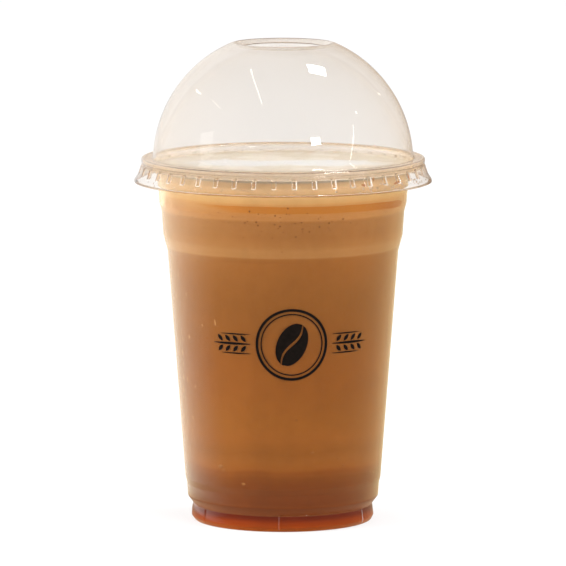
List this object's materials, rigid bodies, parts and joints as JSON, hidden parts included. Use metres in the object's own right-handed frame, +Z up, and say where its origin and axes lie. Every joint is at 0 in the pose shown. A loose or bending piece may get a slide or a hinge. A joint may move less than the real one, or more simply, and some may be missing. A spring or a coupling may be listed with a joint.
{
  "type": "iced coffee in a clear cup with a dome lid",
  "caption": "Clear takeaway cup of iced milk coffee filled to the brim in layers, closed with a clear dome lid that has a straw hole and a ribbed flared skirt.",
  "frame": {"origin": "middle of the standing ring, on the surface the cup stands on", "axes": "+Z up along the cup's axis, -Y the side with the print, +X to its right"},
  "size_m": [0.1014, 0.1014, 0.1636],
  "materials": {
    "cup_plastic": "clear thermoformed plastic",
    "lid_plastic": "clear thermoformed plastic",
    "coffee": "opaque milky coffee",
    "settled": "dark settled coffee",
    "froth": "cream-coloured froth"
  },
  "bodies": {
    "root": {"cup": "cup_plastic", "lid": "lid_plastic", "coffee": "coffee", "settled_layer": "settled", "froth": "froth"}
  },
  "joints": []
}
